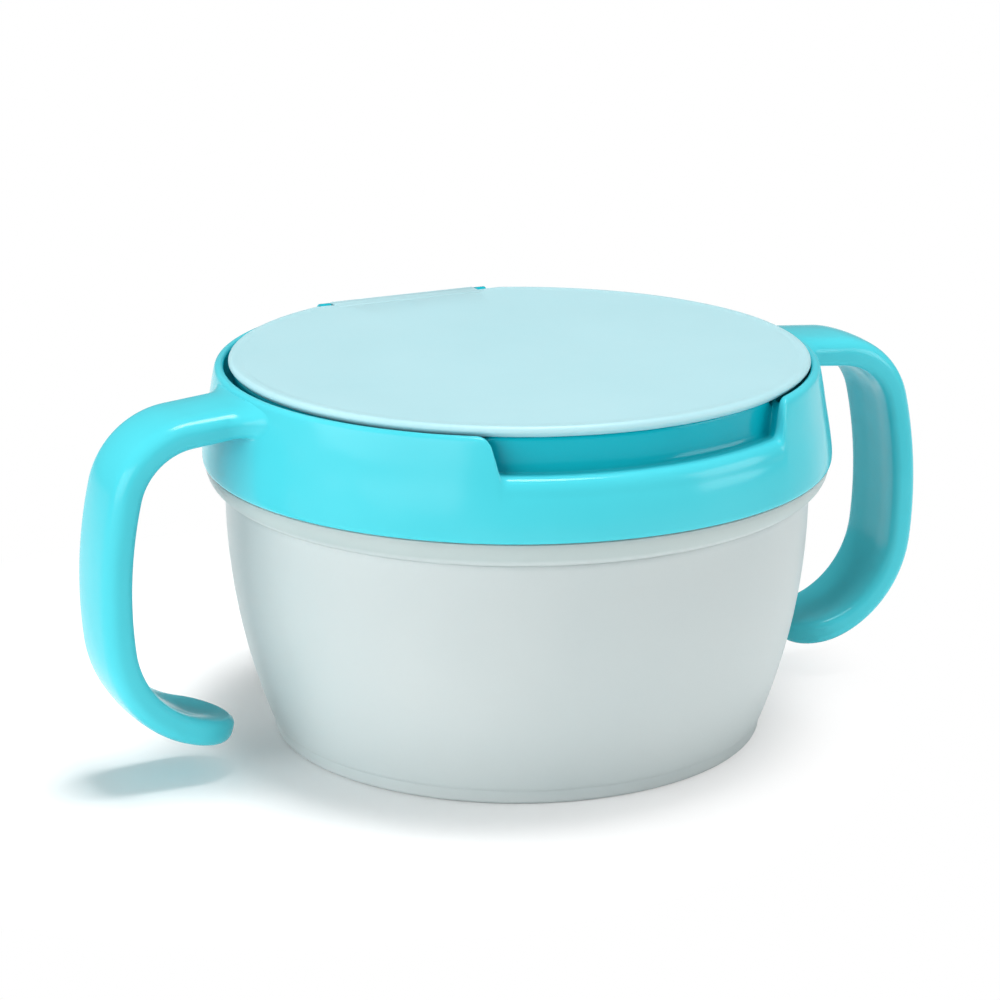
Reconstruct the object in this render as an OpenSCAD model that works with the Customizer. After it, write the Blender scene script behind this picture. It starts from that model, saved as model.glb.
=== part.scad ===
// Snack container for a toddler: a translucent bowl, a clip-fit collar with two
// hooked handles, a soft insert with six flaps, and a hinged flat lid.
// Millimetres. +Z is up, the origin is the middle of the base on the table,
// the finger notch faces -Y, the lid's hinge is at +Y, the handles are on X.

/* [Bowl] */
// Largest outside radius of the bowl's wall, and of the neck above its flange
bowl_r = 55.8; // [53:0.1:58]
// Height of the flange's top face, where the collar sits
bowl_h = 53.2; // [46:0.1:60]
// Drop from the flange's top face to the widest ring of the wall
belly_drop = 7.2; // [6:0.1:12]
// Radius of the wall's curve, seen from the side
wall_sweep_r = 120; // [110:1:150]
// Thickness of the wall
bowl_wall = 1.6; // [1.2:0.1:2]
// Thickness of the floor
floor_t = 1.8; // [1.2:0.1:2.4]
// Radius of the curve between floor and wall, inside
corner_r = 7; // [3:0.5:10]
// Height of the foot ring
foot_h = 2.8; // [2:0.1:4]
// Step from the wall in to the foot ring
foot_step = 0.5; // [0.3:0.1:1]
// Width of the ring that touches the table
foot_w = 1.8; // [1.2:0.1:3]
// Depth of the hollow under the floor
foot_hollow = 1.4; // [0.8:0.1:1.8]
// How far the flange under the collar stands out of the wall
flange_out = 3.7; // [3:0.1:4]
// Radius of the flange's rounded underside
flange_round = 5.2; // [4.2:0.1:6]
// How far the snap bead stands out of the neck
bead = 0.6; // [0.3:0.1:0.8]

/* [Collar] */
// How far the collar's widest ring stands out of the bowl's wall
collar_out = 4.2; // [3.9:0.1:6]
// Height of the collar
collar_h = 18.6; // [17:0.1:22]
// How much narrower the rim is than the widest ring
rim_in = 2.8; // [2:0.1:3.2]
// Radius of the outside wall's curve, seen from the side
flare_r = 90; // [60:1:150]
// Thickness of the rim's top edge
rim_t = 1.6; // [0.8:0.05:1.8]
// Thickness of the skirt that hangs round the neck
skirt_t = 1.8; // [1.4:0.1:2]
// Radius of the skirt's lower outside edge
skirt_round = 1.5; // [1:0.1:1.7]
// Height of the rib inside the skirt that snaps over the neck's bead
snap_h = 1.4; // [1:0.1:1.8]
// Width of the channel between rim and inner wall
moat_w = 1.6; // [1.4:0.05:2.6]
// Depth of that channel and of the finger notch, below the rim
notch_depth = 7.1; // [5.5:0.1:8]
// Thickness of the deck under the channel
deck_t = 1.6; // [1.2:0.1:2]
// Thickness of the inner wall that the lid rests on
inner_wall_t = 1.6; // [1.2:0.1:2]
// Width of the finger notch at its floor
notch_w = 58; // [40:0.5:60]
// How much wider the notch gets up to its upper corners, on each side
notch_flare = 0.3; // [0.1:0.1:3]
// Radius of the notch's two upper corners
notch_corner = 2; // [1:0.1:2.5]
// Thickness of the ribs that close the channel beside the notch
rib_t = 1.3; // [1:0.1:2]

/* [Handles] */
// Width of the handle bar
bar_w = 17.4; // [12:0.1:20]
// Thickness of the handle bar
bar_t = 5.8; // [4.5:0.1:6.4]
// Drop from the rim to the middle of the bar where it leaves the collar
root_drop = 4.1; // [3.6:0.1:6]
// Downward slope of the bar as it leaves the collar, in degrees
root_slope = 5.2; // [0:0.1:10]
// Length of the straight arm from the rim's radius out to the shoulder
arm_l = 11.6; // [9:0.1:16]
// Radius of the shoulder, at the middle of the bar
shoulder_r = 14.5; // [12:0.1:18]
// Angle of the shoulder's turn, in degrees
shoulder_turn = 71; // [66:0.5:76]
// Radius of the long grip, at the middle of the bar
grip_r = 84; // [70:1:90]
// Angle of the grip's turn, in degrees
grip_turn = 20; // [17:0.5:21]
// Radius of the curl at the lower end, at the middle of the bar
curl_r = 20.5; // [18:0.1:21]
// Angle of the curl's turn, in degrees
curl_turn = 68; // [60:0.5:68]
// Radius of the edges beside the bar's flat inner face
bar_edge = 1.2; // [0.8:0.1:1.8]
// Depth of the shallow channel along the inner face
channel_d = 0.5; // [0.2:0.1:1.2]
// Width of the flat strip on each side of that channel
channel_side = 1.2; // [0.4:0.1:3]

/* [Lid] */
// Thickness of the lid
lid_t = 2; // [1.6:0.1:2.2]
// Gap between the lid's edge and the rim
lid_gap = 0.55; // [0.5:0.05:1.4]
// How far the lid's disc is set towards the notch
lid_shift = 0.5; // [0:0.05:0.5]
// How far the lid's underside lies below the rim
lid_sink = 0.6; // [0.4:0.1:1]
// Radius of the lid's rounded edge
lid_edge = 0.9; // [0.6:0.05:1]
// Depth of the ring under the lid that finds the mouth
plug_d = 1.8; // [1:0.1:2]
// Thickness of that ring
plug_t = 1.3; // [1:0.1:2]
// Gap between that ring and the mouth
plug_gap = 2.2; // [1.8:0.1:4]

/* [Hinge] */
// Radius of the lid's hinge barrel
barrel_r = 2; // [1.9:0.05:2.2]
// Length of the hinge barrel
barrel_l = 31.7; // [26:0.1:34]
// Distance of the hinge axis in from the rim's outside
hinge_inset = 5; // [4.9:0.05:5.1]
// Radius of the moulded pins at the barrel's ends
pin_r = 1.2; // [1:0.05:1.3]
// Length of each pin
pin_l = 1.8; // [1.2:0.1:2.2]
// Running gap round each pin
pin_gap = 0.05; // [0.02:0.01:0.1]
// Gap between the barrel's ends and the ears
ear_gap = 0.3; // [0.2:0.05:0.6]
// How far the low bay in the rim runs on past each ear
bay_side = 1.6; // [1:0.1:3]
// Wall of the ears round the pins
ear_wall = 0.85; // [0.7:0.05:0.95]
// Thickness of the ears beyond the ends of the pins
ear_end = 0.7; // [0.5:0.1:1.2]

/* [Flap insert] */
// Thickness of the soft flaps and of the ring that carries them
flap_t = 1.5; // [1:0.1:2]
// Width of the slits between the flaps
slit = 0.7; // [0.6:0.05:1.2]
// Radius of the small hole where the flaps meet
centre_r = 4; // [2:0.5:10]
// Width of the ring outside the corners of the flaps
web = 1.2; // [0.8:0.1:2]
// Height of the soft lip that grips the mouth
lip_h = 3.6; // [2:0.1:4]
// Thickness of that lip
lip_t = 1.4; // [1:0.1:1.8]

/* [Fits] */
// Gap between the collar's lower edge and the flange
seat_gap = 0.2; // [0.1:0.05:0.4]
// Gap between the snap bead and the rib that passes it
snap_gap = 0.3; // [0.2:0.05:0.4]
// Gap between the neck and what stands inside it or above it
neck_gap = 0.3; // [0.2:0.05:0.5]
// Gap between the lid's underside and the inner wall
rest_gap = 0.2; // [0.1:0.05:0.3]
// Gap between the soft lip and the mouth
lip_gap = 0.1; // [0.05:0.05:0.3]
// Gap that the opening lid keeps from the collar
sweep_gap = 0.3; // [0.2:0.05:0.4]
// Gap between a flap's root and the ring
root_gap = 0.25; // [0.2:0.05:0.4]

/* [Hidden] */
$fn = 180;
big = 200;
flaps = 6;

aqua = [0.36, 0.85, 0.92];
pale = [0.74, 0.91, 0.93];
milk = [0.86, 0.9, 0.9, 0.6];
soft = [0.55, 0.88, 0.92];

// Heights
collar_z = bowl_h + seat_gap;
rim_z = collar_z + collar_h;
moat_z = rim_z - notch_depth;
deck_z = moat_z - deck_t;
neck_z = deck_z - neck_gap;
lid_z = rim_z - lid_sink;
seat_z = lid_z - rest_gap;
belly_z = bowl_h - belly_drop;

// Radii
collar_r = bowl_r + collar_out;
rim_r = collar_r - rim_in;
moat_r = rim_r - rim_t;
wall_r = moat_r - moat_w;
mouth_r = wall_r - inner_wall_t;
neck_in = bowl_r - bowl_wall;
flange_r = bowl_r + flange_out;
lid_r = moat_r - lid_gap;
lip_r = mouth_r - lip_gap;
plug_r = mouth_r - plug_gap;

// Bowl wall: one circle, centred inside the bowl at the belly's height
sweep_x = bowl_r - wall_sweep_r;
foot_r = sweep_x + sqrt(pow(wall_sweep_r, 2) - pow(belly_z - foot_h, 2)) - foot_step;
floor_z = foot_hollow + floor_t;
inner_sweep = wall_sweep_r - bowl_wall;
corner_z = floor_z + corner_r;
corner_x = sweep_x + sqrt(pow(inner_sweep - corner_r, 2) - pow(belly_z - corner_z, 2));
tangent_z = belly_z - (belly_z - corner_z) * inner_sweep / (inner_sweep - corner_r);
bead_z = (neck_z + bowl_h) / 2;

// Collar wall: a circle through the widest ring and the rim
wide_z = collar_z + skirt_round;
flare_dx = rim_r - collar_r;
flare_dz = rim_z - wide_z;
flare_l = norm([flare_dx, flare_dz]);
flare_k = sqrt(pow(flare_r, 2) - pow(flare_l / 2, 2)) / flare_l;
flare_x = (collar_r + rim_r) / 2 - flare_k * flare_dz;
flare_z = (wide_z + rim_z) / 2 + flare_k * flare_dx;
function wall_at(z) = flare_x + sqrt(pow(flare_r, 2) - pow(z - flare_z, 2));

// Hinge
hinge_y = rim_r - hinge_inset;
hinge_z = lid_z + lid_t - barrel_r;
bay_w = barrel_l + 2 * ear_gap;
bore_r = pin_r + pin_gap;
ear_r = bore_r + ear_wall;
ear_w = pin_l - ear_gap + pin_gap + ear_end;
cut_w = bay_w + 2 * (ear_w + bay_side);
cut_y = sqrt(pow(rim_r, 2) - pow(cut_w / 2, 2));
bay_z = hinge_z - barrel_r - 2 * sweep_gap;

// Handle path, in the XZ plane: a list of [x, z, heading] at the joins
arm_x = rim_r;
arm_z = rim_z - root_drop;
function ahead(p, l) = [p.x + l * cos(p.z), p.y + l * sin(p.z), p.z];
function turned(p, r, a) =
    [p.x + r * (sin(p.z) - sin(p.z - a)), p.y - r * (cos(p.z) - cos(p.z - a)), p.z - a];
channel_w = bar_w - 2 * (bar_edge + channel_side);
root = [arm_x, arm_z, -root_slope];
shoulder = ahead(root, arm_l);
grip = turned(shoulder, shoulder_r, shoulder_turn);
curl = turned(grip, grip_r, grip_turn);
tip = turned(curl, curl_r, curl_turn);

// How far joined shapes lap, and how much thinner the bar's lapped pieces are
lap = 0.4;
lap_step = 0.04;

// Flap insert: six flaps whose roots lie along a hexagon's sides
ring_r = neck_in - neck_gap;
hex_r = lip_r - lip_t - web;
hex_side = hex_r * cos(180 / flaps);
root_r = flap_t / 2;
hinge_r = hex_side - root_gap - root_r;
flap_z = deck_z - flap_t / 2;

// A ring turned from a rectangle
module ring(r_in, r_out, z0, z1) {
    rotate_extrude() translate([r_in, z0]) square([r_out - r_in, z1 - z0]);
}

// Half-plane of the bowl's wall curve, up to the flange
module wall_half(r, z0, z1) {
    intersection() {
        translate([sweep_x, belly_z]) circle(r, $fn = 720);
        translate([0, z0]) square([big, z1 - z0]);
    }
}

module bowl_outer() {
    wall_half(wall_sweep_r, foot_h, bowl_h);
    square([foot_r, foot_h]);
    translate([0, belly_z]) square([bowl_r, neck_z - belly_z]);
    intersection() {
        translate([flange_r - flange_round, bowl_h]) circle(flange_round);
        square([big, bowl_h]);
    }
    translate([bowl_r, bead_z]) circle(bead, $fn = 48);
}

module bowl_inner() {
    wall_half(inner_sweep, tangent_z, belly_z);
    translate([0, belly_z]) square([neck_in, big]);
    translate([corner_x, corner_z]) circle(corner_r, $fn = 96);
    translate([0, floor_z]) square([corner_x, belly_z - floor_z]);
}

module bowl() {
    color(milk) rotate_extrude() difference() {
        bowl_outer();
        bowl_inner();
        square([foot_r - foot_w, foot_hollow]);
        translate([-big, -1]) square([big, big]);
    }
}

// Outside shape of the collar, as a solid half-section from the axis out
module collar_half(z_top) {
    intersection() {
        translate([flare_x, flare_z]) circle(flare_r, $fn = 720);
        translate([0, wide_z]) square([big, z_top - wide_z]);
    }
    translate([0, collar_z]) square([collar_r - skirt_round, wide_z - collar_z]);
    intersection() {
        translate([collar_r - skirt_round, wide_z]) circle(skirt_round, $fn = 64);
        translate([0, collar_z]) square([big, skirt_round]);
    }
}

module collar_section() {
    difference() {
        collar_half(rim_z - rim_t / 2);
        // skirt's hollow, round the neck
        polygon([[0, 0], [collar_r - skirt_t, 0], [collar_r - skirt_t, wide_z],
                 [wall_at(deck_z) - skirt_t, deck_z], [0, deck_z]]);
        // channel
        translate([wall_r, moat_z]) square([moat_r - wall_r, big]);
        // mouth
        square([mouth_r, big]);
        translate([0, seat_z - inner_wall_t / 2]) square([wall_r, big]);
    }
    translate([moat_r + rim_t / 2, rim_z - rim_t / 2]) circle(rim_t / 2, $fn = 48);
    translate([(mouth_r + wall_r) / 2, seat_z - inner_wall_t / 2])
        circle(inner_wall_t / 2, $fn = 48);
    // snap rib inside the skirt
    rib_r = bowl_r + bead + snap_gap;
    translate([rib_r, wide_z]) square([collar_r - skirt_t / 2 - rib_r, snap_h]);
}

// Front view of the notch: its sides slope up to where the rounded upper
// corners begin
function side_at(z) = notch_w / 2
    + notch_flare * (z - moat_z) / (notch_depth - notch_corner);
module notch_shape() {
    top = rim_z + notch_corner;
    mid = rim_z - notch_corner;
    low = side_at(moat_z);
    high = side_at(mid);
    polygon([[-low, moat_z], [low, moat_z], [high, mid], [high, top],
             [-high, top], [-high, mid]]);
    for (s = [0, 1]) mirror([s, 0]) difference() {
        translate([high - lap, mid]) square([notch_corner + lap, 2 * notch_corner]);
        translate([high + notch_corner, mid]) circle(notch_corner, $fn = 48);
    }
}

// Rib beside the notch, seen from the front: the notch is cut through its side
module rib_shape() {
    near = side_at(moat_z) - lap;
    polygon([[near, deck_z], [near, seat_z], [side_at(seat_z) + rib_t, seat_z],
             [side_at(moat_z) + rib_t, deck_z]]);
}

// Extrudes a front view from y0 to y1
module along_y(y0, y1) {
    translate([0, y1, 0]) rotate([90, 0, 0]) linear_extrude(y1 - y0) children();
}

module ear() {
    translate([bay_w / 2, hinge_y, hinge_z]) rotate([0, 90, 0])
        cylinder(h = ear_w, r = ear_r, $fn = 96);
    translate([bay_w / 2, hinge_y - ear_r, deck_z])
        cube([ear_w, 2 * ear_r, hinge_z - deck_z]);
}

module collar() {
    color(aqua) difference() {
        union() {
            difference() {
                union() {
                    rotate_extrude() collar_section();
                    intersection() {
                        ring(wall_r - lap, moat_r + lap, deck_z, seat_z);
                        along_y(-big, 0) for (s = [0, 1]) mirror([s, 0]) rib_shape();
                    }
                }
                along_y(-big, 0) notch_shape();
                // low bay behind and between the hinge's ears
                translate([0, 0, bay_z]) linear_extrude(big) polygon([[0, 0],
                    2 * [cut_w / 2, cut_y], 2 * [-cut_w / 2, cut_y]]);
            }
            for (s = [0, 1]) mirror([s, 0, 0]) ear();
        }
        for (s = [-1, 1]) translate([s * bay_w / 2, hinge_y, hinge_z])
            rotate([0, s * 90, 0]) cylinder(h = pin_l - ear_gap + pin_gap, r = bore_r, $fn = 64);
    }
}

// Half of the bar's cross-section: x runs out from the middle of its width, +y
// is its outer face with two wide round edges, -y its flat inner face
module bar_half(less = 0) {
    r = bar_t / 2;
    half = bar_w / 2;
    polygon([[0, less - r], [half - bar_edge, less - r], [half - less, bar_edge - r],
             [half - less, 0], [half - r, r - less], [0, r - less]]);
    intersection() {
        translate([half - r, 0]) circle(r - less, $fn = 64);
        translate([0, -lap]) square([half, bar_t]);
    }
    translate([half - bar_edge, bar_edge - r]) circle(bar_edge - less, $fn = 48);
}

// Bar's cross-section: x is across its thickness with +x outside, y its width.
// The shoulder and the curl are full size, and lap over the thinner pieces.
module bar_section(less = 0) {
    difference() {
        rotate(-90) for (s = [0, 1]) mirror([s, 0]) bar_half(less);
        translate([-bar_t / 2, 0])
            square([2 * (channel_d + less), channel_w + 2 * less], center = true);
    }
}

// One curved stretch, lengthened at both ends by the angle extra
module bar_arc(from, r, turn, less = 0, extra = 0) {
    centre = [from.x + r * sin(from.z), from.y - r * cos(from.z)];
    translate([centre.x, 0, centre.y]) rotate([90, 0, 0])
        rotate([0, 0, 90 + from.z - turn - extra])
        rotate_extrude(angle = turn + 2 * extra, $fn = 360)
        translate([r, 0]) bar_section(less);
}

module bar_tip() {
    translate([tip.x, 0, tip.y]) rotate([0, -tip.z, 0]) intersection() {
        rotate_extrude() bar_half(lap_step);
        translate([-lap, -bar_w, -bar_t]) cube([2 * bar_w, 2 * bar_w, 2 * bar_t]);
    }
}

module handle() {
    difference() {
        union() {
            translate([root.x, 0, root.y]) rotate([0, 90 - root.z, 0])
                translate([0, 0, -root_drop]) mirror([1, 0, 0])
                linear_extrude(arm_l + root_drop + lap) bar_section(lap_step);
            bar_arc(shoulder, shoulder_r, shoulder_turn);
            bar_arc(grip, grip_r, grip_turn, lap_step, lap / grip_r * 180 / PI);
            bar_arc(curl, curl_r, curl_turn);
            bar_tip();
        }
        rotate_extrude() difference() {
            collar_half(rim_z);
            translate([-big, 0]) square([big, big]);
        }
    }
}

module handle_right() { color(aqua) handle(); }
module handle_left() { color(aqua) mirror([1, 0, 0]) handle(); }

module flap_ring() {
    color(soft) {
        difference() {
            union() {
                ring(0, ring_r, deck_z - flap_t, deck_z);
                ring(0, lip_r, deck_z - flap_t, deck_z + lip_h);
            }
            ring(0, lip_r - lip_t, deck_z, big);
            translate([0, 0, deck_z - 2 * flap_t])
                cylinder(h = 3 * flap_t, r = hex_r, $fn = flaps);
        }
    }
}

// A flap before it is turned to its place: its root lies along x = hinge_r
module flap() {
    half = hinge_r * tan(180 / flaps) - slit;
    difference() {
        union() {
            translate([hinge_r, 0, flap_z]) rotate([90, 0, 0])
                cylinder(h = 2 * half, r = root_r, center = true, $fn = 48);
            translate([0, 0, deck_z - flap_t]) linear_extrude(flap_t) intersection() {
                translate([slit / sin(180 / flaps) / 2, 0])
                    polygon([[0, 0], [big, big * tan(180 / flaps)],
                             [big, -big * tan(180 / flaps)]]);
                translate([0, -half]) square([hinge_r, 2 * half]);
            }
        }
        translate([0, 0, deck_z - 2 * flap_t]) cylinder(h = 3 * flap_t, r = centre_r, $fn = 96);
    }
}

module flap_at(i) { color(soft) rotate([0, 0, (i - 0.5) * 360 / flaps]) flap(); }

module lid_half() {
    intersection() {
        union() {
            translate([0, lid_z]) square([lid_r - lid_edge, lid_t]);
            translate([0, lid_z + lid_edge]) square([lid_r, lid_t - 2 * lid_edge]);
            for (z = [lid_z + lid_edge, lid_z + lid_t - lid_edge])
                translate([lid_r - lid_edge, z]) circle(lid_edge, $fn = 48);
        }
        square([big, big]);
    }
}

module lid() {
    trim_y = hinge_y - ear_r - sweep_gap;
    color(pale) {
        difference() {
            translate([0, -lid_shift, 0]) rotate_extrude() lid_half();
            // corners beside the hinge, clear of the ears
            for (s = [0, 1]) mirror([s, 0, 0])
                translate([barrel_l / 2, trim_y, 0]) cube([big, big, big]);
            translate([-big / 2, hinge_y, 0]) cube([big, big, big]);
        }
        translate([-barrel_l / 2, trim_y - lid_t, lid_z])
            cube([barrel_l, hinge_y - trim_y + lid_t, lid_t]);
        translate([0, hinge_y, hinge_z]) rotate([0, 90, 0]) {
            cylinder(h = barrel_l, r = barrel_r, center = true, $fn = 96);
            cylinder(h = barrel_l + 2 * pin_l, r = pin_r, center = true, $fn = 64);
        }
        ring(plug_r - plug_t, plug_r, lid_z - plug_d, lid_z + lid_t / 2);
    }
}

bowl();
collar();
handle_left();
handle_right();
flap_ring();
flap_at(1);  // flap_1
flap_at(2);  // flap_2
flap_at(3);  // flap_3
flap_at(4);  // flap_4
flap_at(5);  // flap_5
flap_at(6);  // flap_6
lid();
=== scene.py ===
"""Toddler snack container: a frosted bowl, an aqua collar with two hooked handles,
a soft insert with six flaps and a pale hinged lid, dressed over the CAD frame.

Sizes in the classes are millimetres, because moulded parts are drawn so; the
workbench turns them into Blender's metres. +Z is up, the notch faces -Y, the
lid's hinge is at +Y and the handles are on X.
"""

import logging
import math
from contextlib import contextmanager
from dataclasses import dataclass
from enum import Enum
from typing import Callable, Iterator, Sequence

import bmesh
import bpy
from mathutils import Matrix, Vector
from mathutils.bvhtree import BVHTree


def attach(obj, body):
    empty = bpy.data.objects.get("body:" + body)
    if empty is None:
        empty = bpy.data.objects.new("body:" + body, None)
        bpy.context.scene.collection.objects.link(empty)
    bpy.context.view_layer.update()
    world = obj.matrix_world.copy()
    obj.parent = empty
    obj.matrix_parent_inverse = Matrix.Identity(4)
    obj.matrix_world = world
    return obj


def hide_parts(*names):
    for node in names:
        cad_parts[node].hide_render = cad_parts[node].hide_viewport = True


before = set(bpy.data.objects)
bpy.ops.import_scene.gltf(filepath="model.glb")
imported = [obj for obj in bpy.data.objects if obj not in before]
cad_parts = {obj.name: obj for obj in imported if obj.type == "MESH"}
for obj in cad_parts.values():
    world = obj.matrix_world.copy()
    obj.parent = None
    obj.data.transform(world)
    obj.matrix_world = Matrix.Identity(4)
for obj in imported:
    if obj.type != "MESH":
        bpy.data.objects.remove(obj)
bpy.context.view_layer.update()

LOG = logging.getLogger("snack_container")
MM = 0.001
FULL_TURN = 2 * math.pi
# how near, in millimetres, a point lies to a plane that it is picked on
ON_PLANE = 0.01
# the distance, in millimetres, under which two points are one
MERGE = 0.002
# the sharpest edge, in degrees, that is neither rounded nor shaded as an edge
CREASE = 35
# (y, z) of the line that the lid turns about
HINGE = (52.2, 71.4)
Point = tuple[float, float, float]
Pair = tuple[float, float]
Piece = bpy.types.Object
Node = bpy.types.Node
Test = Callable[[Vector], bool]


# ---------------------------------------------------------------- workbench


def deg(angle: float) -> float:
    """Degrees to radians."""
    return math.radians(angle)


def metres(*values: float) -> tuple[float, ...]:
    """Millimetres to metres."""
    return tuple(v * MM for v in values)


def only(*objects: Piece) -> None:
    """Selects these objects alone, or none.

    Args:
        *objects: the objects; the last one becomes the active one.
    """
    bpy.ops.object.select_all(action="DESELECT")
    for obj in objects:
        obj.select_set(True)
        bpy.context.view_layer.objects.active = obj


@contextmanager
def editing(obj: Piece) -> Iterator[Piece]:
    """Opens a mesh in edit mode with nothing selected, and closes it again.

    Args:
        obj: the mesh object to open.

    Returns:
        The same object, while the block runs.
    """
    only(obj)
    bpy.ops.object.mode_set(mode="EDIT")
    bpy.ops.mesh.select_mode(type="VERT")
    bpy.ops.mesh.select_all(action="DESELECT")
    try:
        yield obj
    finally:
        bpy.ops.object.mode_set(mode="OBJECT")


def pick_all() -> None:
    """Selects the whole mesh, in edit mode."""
    bpy.ops.mesh.select_all(action="SELECT")


def pick(obj: Piece, test: Test) -> None:
    """Selects, in edit mode, exactly the points that pass a test of their place.

    Args:
        obj: the mesh object being edited.
        test: gets a point's place in millimetres.
    """
    bpy.ops.mesh.select_all(action="DESELECT")
    mesh = bmesh.from_edit_mesh(obj.data)
    for vert in mesh.verts:
        if test(vert.co / MM):
            vert.select_set(True)
    mesh.select_flush_mode()
    bmesh.update_edit_mesh(obj.data)


def extrude(step: Sequence[float]) -> None:
    """Extrudes what is selected by a step in millimetres."""
    bpy.ops.mesh.extrude_region_move(
        TRANSFORM_OT_translate={"value": metres(*step)}
    )


def tidy(merge: float = MERGE) -> None:
    """Merges doubles and turns all faces outwards, in edit mode.

    Args:
        merge: the distance, in millimetres, under which two points are one.
    """
    bpy.ops.mesh.select_mode(type="VERT")
    pick_all()
    bpy.ops.mesh.remove_doubles(threshold=merge * MM)
    pick_all()
    bpy.ops.mesh.normals_make_consistent(inside=False)


def strand(name: str, points: Sequence[Pair], closed: bool = True) -> Piece:
    """Draws a line in the plane y = 0 by extruding one point from place to place.

    Args:
        name: the new object's name.
        points: (x, z) pairs in millimetres.
        closed: whether the last point is joined to the first.

    Returns:
        The new object.
    """
    only()
    bpy.ops.mesh.primitive_plane_add(size=MM)
    obj = bpy.context.object
    obj.name = name
    with editing(obj):
        pick_all()
        bpy.ops.mesh.merge(type="CENTER")
        pick_all()
        bpy.ops.transform.translate(value=metres(points[0][0], 0, points[0][1]))
        for (x0, z0), (x1, z1) in zip(points, points[1:]):
            extrude((x1 - x0, 0, z1 - z0))
        if closed:
            mesh = bmesh.from_edit_mesh(obj.data)
            mesh.verts.ensure_lookup_table()
            bpy.ops.mesh.select_all(action="DESELECT")
            mesh.verts[0].select_set(True)
            mesh.verts[len(points) - 1].select_set(True)
            bpy.ops.mesh.edge_face_add()
    return obj


def turn(obj: Piece, steps: int) -> None:
    """Spins a line round the Z axis to a closed, outward-facing skin.

    Args:
        obj: the line.
        steps: how many sections the full turn has.
    """
    with editing(obj):
        pick_all()
        bpy.ops.mesh.spin(
            steps=steps, angle=FULL_TURN, center=(0, 0, 0), axis=(0, 0, 1)
        )
        tidy()


def settle(obj: Piece, rule: Callable[[Vector], Vector]) -> None:
    """Moves each point of a mesh to where a rule puts it.

    Args:
        obj: the mesh object.
        rule: turns a point's place, in millimetres, into its new one.
    """
    for vert in obj.data.vertices:
        vert.co = rule(vert.co / MM) * MM
    obj.data.update()


def shape(obj: Piece, kind: str, **settings: object) -> None:
    """Adds a modifier with its settings, and applies it at once.

    Args:
        obj: the object that gets the modifier.
        kind: Blender's name for the sort of modifier, such as "BEVEL".
        **settings: the modifier's own settings.
    """
    only(obj)
    modifier = obj.modifiers.new(kind.title(), kind)
    for key, value in settings.items():
        setattr(modifier, key, value)
    bpy.ops.object.modifier_apply(modifier=modifier.name)


def soften(obj: Piece, width: float, segments: int = 3) -> None:
    """Rounds the sharp edges of a piece.

    Args:
        obj: the piece.
        width: how wide the rounding is, in millimetres.
        segments: how many strips it has.
    """
    shape(
        obj,
        "BEVEL",
        width=width * MM,
        segments=segments,
        limit_method="ANGLE",
        angle_limit=deg(CREASE),
        harden_normals=False,
    )


def smooth(obj: Piece, angle: float = CREASE) -> None:
    """Shades a piece smooth, except over edges sharper than so many degrees."""
    only(obj)
    bpy.ops.object.shade_smooth_by_angle(angle=deg(angle))


def fix_place() -> None:
    """Puts the place, turn and size of what is selected into its mesh."""
    bpy.ops.object.transform_apply(location=True, rotation=True, scale=True)


def placed(name: str) -> Piece:
    """Names the new primitive and puts its place into its mesh.

    Args:
        name: the primitive's name.

    Returns:
        The primitive.
    """
    obj = bpy.context.object
    obj.name = name
    fix_place()
    return obj


def box(name: str, low: Point, high: Point) -> Piece:
    """Adds a block, with its place in its mesh.

    Args:
        name: the new object's name.
        low, high: its lowest and highest corner, in millimetres.

    Returns:
        The block.
    """
    only()
    middle = [(a + b) / 2 for a, b in zip(low, high)]
    bpy.ops.mesh.primitive_cube_add(size=1, location=metres(*middle))
    bpy.context.object.scale = metres(*[b - a for a, b in zip(low, high)])
    return placed(name)


def rod(
    name: str, radius: float, x0: float, x1: float, y: float, z: float, sides: int
) -> Piece:
    """Adds a round bar along X, with its place in its mesh.

    Args:
        name: the new object's name.
        radius: the bar's radius, in millimetres, as are the next four.
        x0, x1: where its ends are.
        y, z: where its axis is.
        sides: how many sides it has.

    Returns:
        The bar.
    """
    only()
    bpy.ops.mesh.primitive_cylinder_add(
        vertices=sides,
        radius=radius * MM,
        depth=abs(x1 - x0) * MM,
        location=metres((x0 + x1) / 2, y, z),
        rotation=(0, deg(90), 0),
    )
    return placed(name)


def join(name: str, *objects: Piece) -> Piece:
    """Makes several objects one.

    Args:
        name: the name of the whole and of its mesh.
        *objects: the objects; the first one stays as the whole.

    Returns:
        The whole.
    """
    only(*reversed(objects))
    bpy.ops.object.join()
    whole = bpy.context.object
    whole.name = name
    whole.data.name = name
    return whole


def mirrored(obj: Piece, name: str, merge: float, angle: float = CREASE) -> Piece:
    """Copies a piece, with a mesh of its own, to the other side of x = 0.

    Args:
        obj: the piece.
        name: the copy's name.
        merge: the distance, in millimetres, under which two points are one.
        angle: the sharpest edge, in degrees, that is still shaded smooth.

    Returns:
        The copy, with its faces turned outwards again.
    """
    only(obj)
    bpy.ops.object.duplicate(linked=False)
    twin = bpy.context.object
    twin.name = name
    twin.scale = (-1, 1, 1)
    fix_place()
    with editing(twin):
        tidy(merge)
    smooth(twin, angle)
    return twin


def arc(x: float, z: float, r: float, a0: float, a1: float, steps: int) -> list[Pair]:
    """Points of an arc in the plane y = 0.

    Args:
        x, z: the arc's centre, in millimetres.
        r: its radius.
        a0, a1: its first and last angle, in degrees from +X towards +Z.
        steps: how many pieces it has.

    Returns:
        The (x, z) pairs, both ends among them.
    """
    turns = [deg(a0 + (a1 - a0) * i / steps) for i in range(steps + 1)]
    return [(x + r * math.cos(t), z + r * math.sin(t)) for t in turns]


# ------------------------------------------------------------------ finishes


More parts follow.
